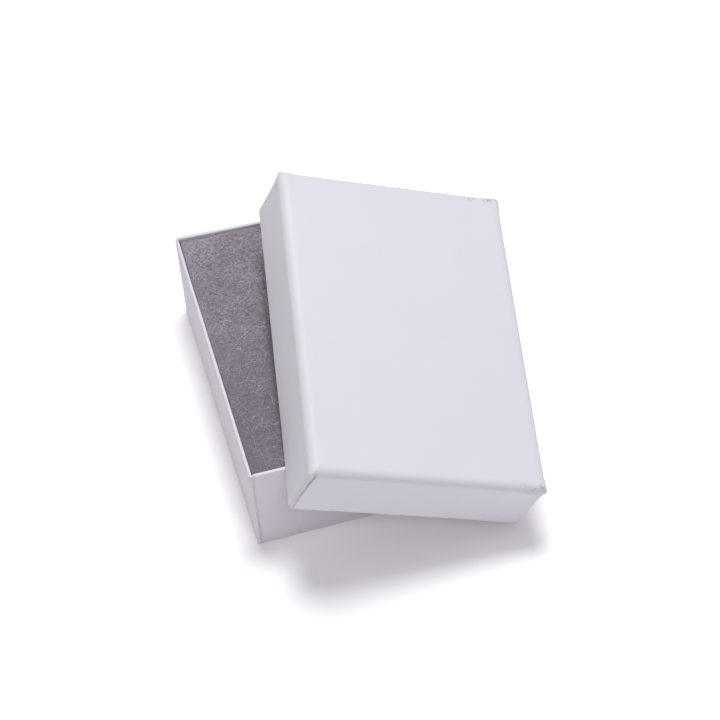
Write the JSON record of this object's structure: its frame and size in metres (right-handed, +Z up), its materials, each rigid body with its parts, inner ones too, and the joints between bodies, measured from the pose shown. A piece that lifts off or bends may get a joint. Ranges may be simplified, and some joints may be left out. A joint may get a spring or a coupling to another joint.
{
  "type": "jewelry gift box",
  "caption": "Small white paper-wrapped set-up box with a fibre pad for jewelry; its shallow lift-off lid lies askew on the open tray.",
  "frame": {"origin": "centre of the underside of the base tray", "axes": "+Z up, X across the tray's width, +Y along its length to the back; the lid lies off to +X and -Y"},
  "size_m": [0.0769, 0.0951, 0.0526],
  "materials": {
    "white_paper": "matte",
    "chipboard": "matte",
    "stay_tape": "matte",
    "fibre_fill": "matte"
  },
  "bodies": {
    "base": {"base_board": "chipboard", "base_corner_stay_front_left": "stay_tape", "base_corner_stay_back_left": "stay_tape", "base_corner_stay_front_right": "stay_tape", "base_corner_stay_back_right": "stay_tape", "base_wrap": "white_paper"},
    "pad": {"fibre_pad": "fibre_fill"},
    "lid": {"lid_board": "chipboard", "lid_corner_stay_front_left": "stay_tape", "lid_corner_stay_back_left": "stay_tape", "lid_corner_stay_front_right": "stay_tape", "lid_corner_stay_back_right": "stay_tape", "lid_wrap": "white_paper"}
  },
  "joints": [
    {"name": "pad_lift", "type": "slide", "parent": "base", "child": "pad", "axis": [0, 0, 1], "range_m": [0, 0.03]},
    {"name": "lid_lift", "type": "slide", "parent": "pad", "child": "lid", "axis": [0, 0, 1], "range_m": [0, 0.045]}
  ]
}
